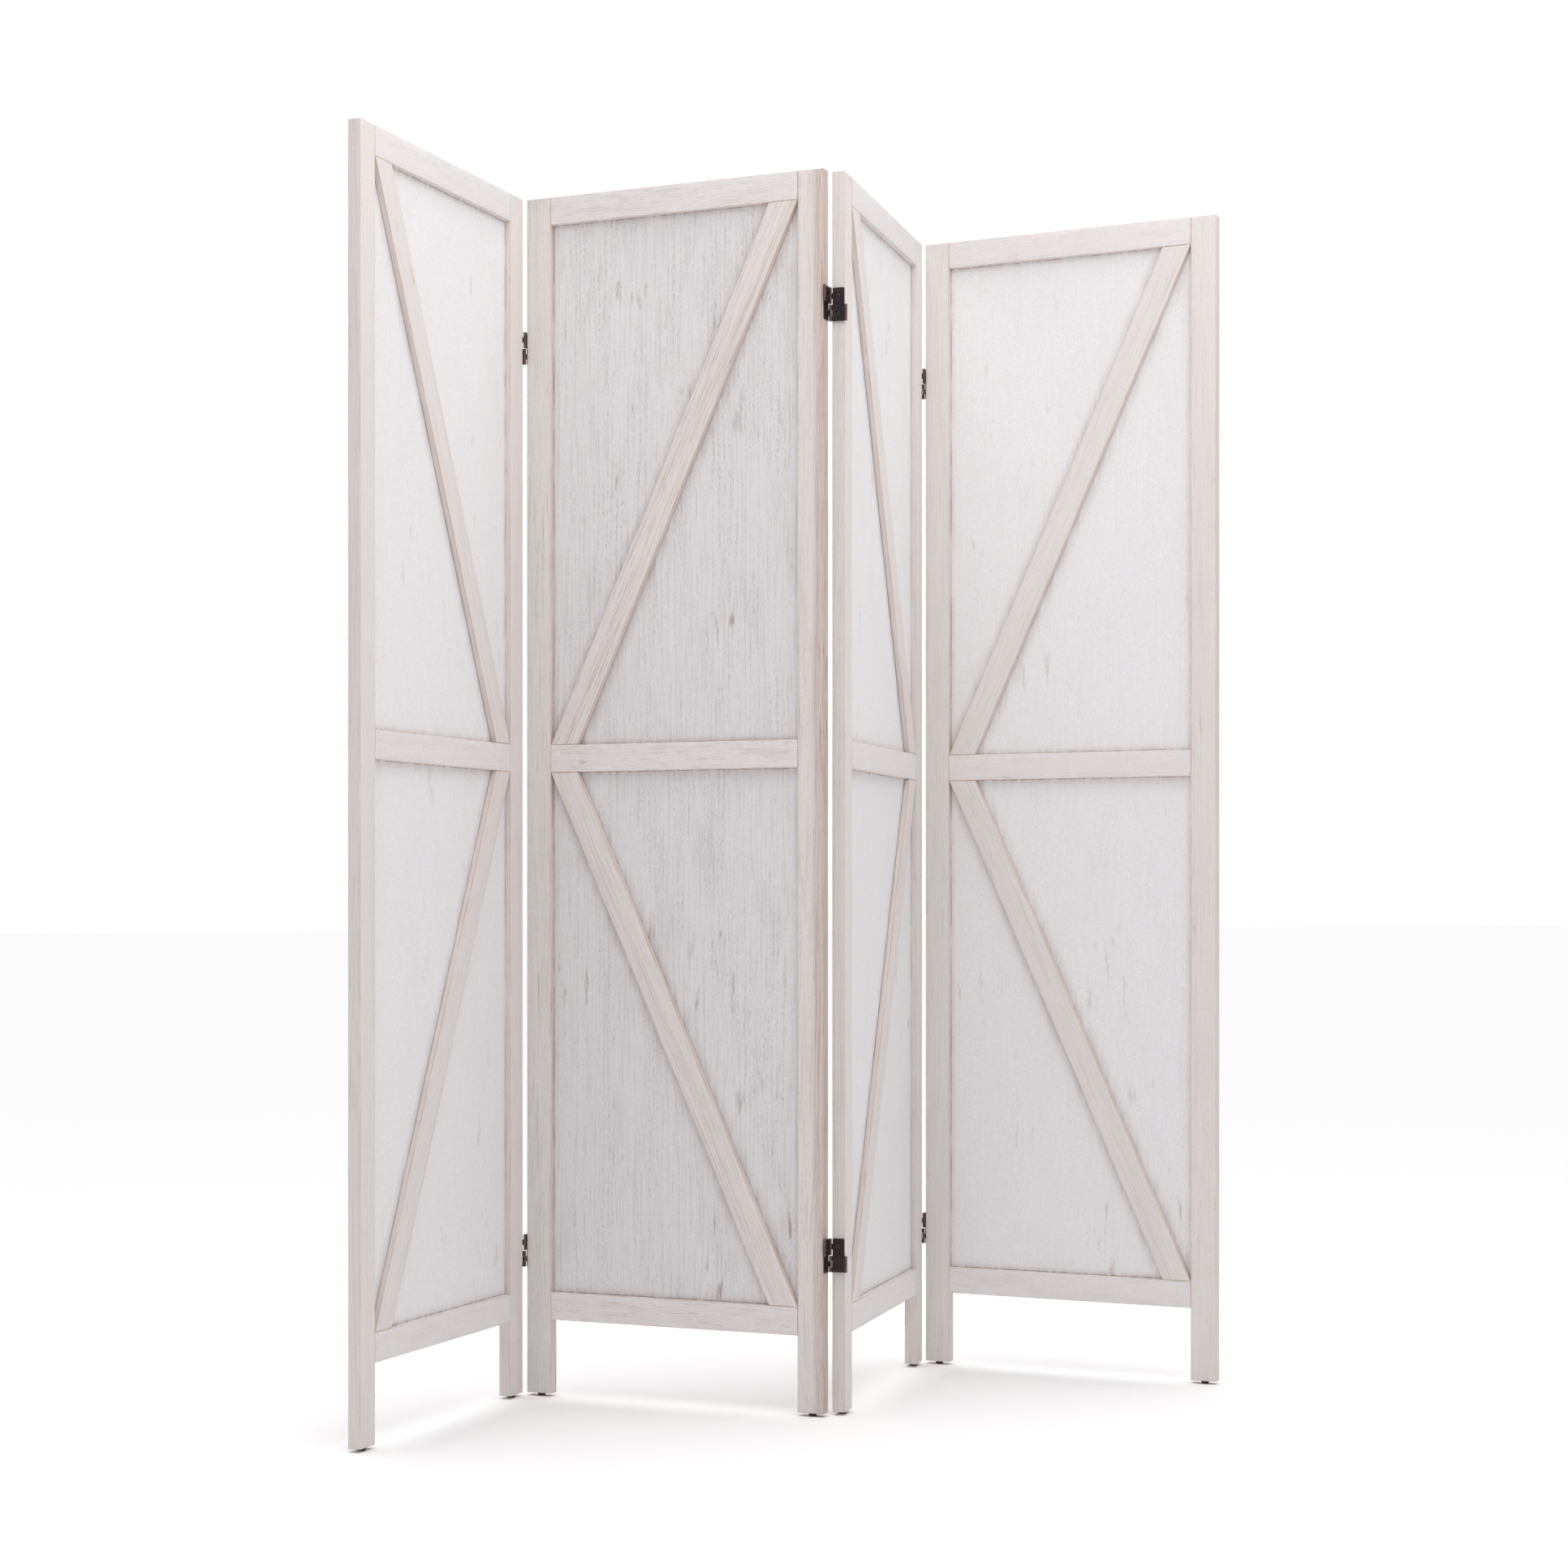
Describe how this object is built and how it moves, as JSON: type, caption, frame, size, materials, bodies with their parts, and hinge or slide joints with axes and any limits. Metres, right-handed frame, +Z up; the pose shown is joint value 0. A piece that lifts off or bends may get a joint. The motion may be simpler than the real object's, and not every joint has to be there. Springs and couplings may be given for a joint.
{
  "type": "folding room divider screen",
  "caption": "Free-standing folding screen of framed wooden panels with diagonal braces, joined edge to edge by double-action hinges, whitewashed and rubbed through.",
  "frame": {"origin": "on the floor under the centre of the screen's footprint as it stands in its zigzag", "axes": "+Z is up, X runs along the line of the screen from its left end to its right end, and -Y is the front, the side with the diagonal braces"},
  "size_m": [1.2976, 0.3732, 1.7],
  "materials": {
    "stile_wood": "whitewashed and rubbed through",
    "rail_wood": "whitewashed and rubbed through",
    "board_wood": "whitewashed and rubbed through",
    "brace_wood": "whitewashed and rubbed through",
    "hinge_metal": "dark bronze, worn at the edges",
    "glide_plastic": "matte"
  },
  "bodies": {
    "panel_1": {"panel_1_bottom_rail": "rail_wood", "panel_1_glides": "glide_plastic", "panel_1_hinge_pins": "hinge_metal", "panel_1_hinge_screws": "hinge_metal", "panel_1_left_stile": "stile_wood", "panel_1_lower_board": "board_wood", "panel_1_lower_brace": "brace_wood", "panel_1_middle_rail": "rail_wood", "panel_1_right_stile": "stile_wood", "panel_1_top_rail": "rail_wood", "panel_1_upper_board": "board_wood", "panel_1_upper_brace": "brace_wood", "hinge_12_left_leaves": "hinge_metal", "hinge_12_lower_links": "hinge_metal"},
    "panel_2": {"panel_2_bottom_rail": "rail_wood", "panel_2_glides": "glide_plastic", "panel_2_hinge_pins": "hinge_metal", "panel_2_hinge_screws": "hinge_metal", "panel_2_left_stile": "stile_wood", "panel_2_lower_board": "board_wood", "panel_2_lower_brace": "brace_wood", "panel_2_middle_rail": "rail_wood", "panel_2_right_stile": "stile_wood", "panel_2_top_rail": "rail_wood", "panel_2_upper_board": "board_wood", "panel_2_upper_brace": "brace_wood", "hinge_12_right_leaves": "hinge_metal", "hinge_12_upper_links": "hinge_metal", "hinge_23_left_leaves": "hinge_metal", "hinge_23_upper_links": "hinge_metal"},
    "panel_3": {"panel_3_bottom_rail": "rail_wood", "panel_3_glides": "glide_plastic", "panel_3_hinge_pins": "hinge_metal", "panel_3_hinge_screws": "hinge_metal", "panel_3_left_stile": "stile_wood", "panel_3_lower_board": "board_wood", "panel_3_lower_brace": "brace_wood", "panel_3_middle_rail": "rail_wood", "panel_3_right_stile": "stile_wood", "panel_3_top_rail": "rail_wood", "panel_3_upper_board": "board_wood", "panel_3_upper_brace": "brace_wood", "hinge_23_right_leaves": "hinge_metal", "hinge_23_lower_links": "hinge_metal", "hinge_34_left_leaves": "hinge_metal", "hinge_34_lower_links": "hinge_metal"},
    "panel_4": {"panel_4_bottom_rail": "rail_wood", "panel_4_glides": "glide_plastic", "panel_4_hinge_pins": "hinge_metal", "panel_4_hinge_screws": "hinge_metal", "panel_4_left_stile": "stile_wood", "panel_4_lower_board": "board_wood", "panel_4_lower_brace": "brace_wood", "panel_4_middle_rail": "rail_wood", "panel_4_right_stile": "stile_wood", "panel_4_top_rail": "rail_wood", "panel_4_upper_board": "board_wood", "panel_4_upper_brace": "brace_wood", "hinge_34_right_leaves": "hinge_metal", "hinge_34_upper_links": "hinge_metal"}
  },
  "joints": [
    {"name": "fold_12", "type": "hinge", "parent": "panel_2", "child": "panel_1", "pos_m": [-0.31067, 0.14898, 0.85], "axis": [0, 0, 1], "range_deg": [-91.3, 87.7]},
    {"name": "fold_23", "type": "hinge", "parent": "panel_2", "child": "panel_3", "pos_m": [0.02178, -0.16969, 0.85], "axis": [0, 0, 1], "range_deg": [-96.8, 82.2]},
    {"name": "fold_34", "type": "hinge", "parent": "panel_3", "child": "panel_4", "pos_m": [0.33239, 0.17031, 0.85], "axis": [0, 0, -1], "range_deg": [-99, 80]}
  ]
}
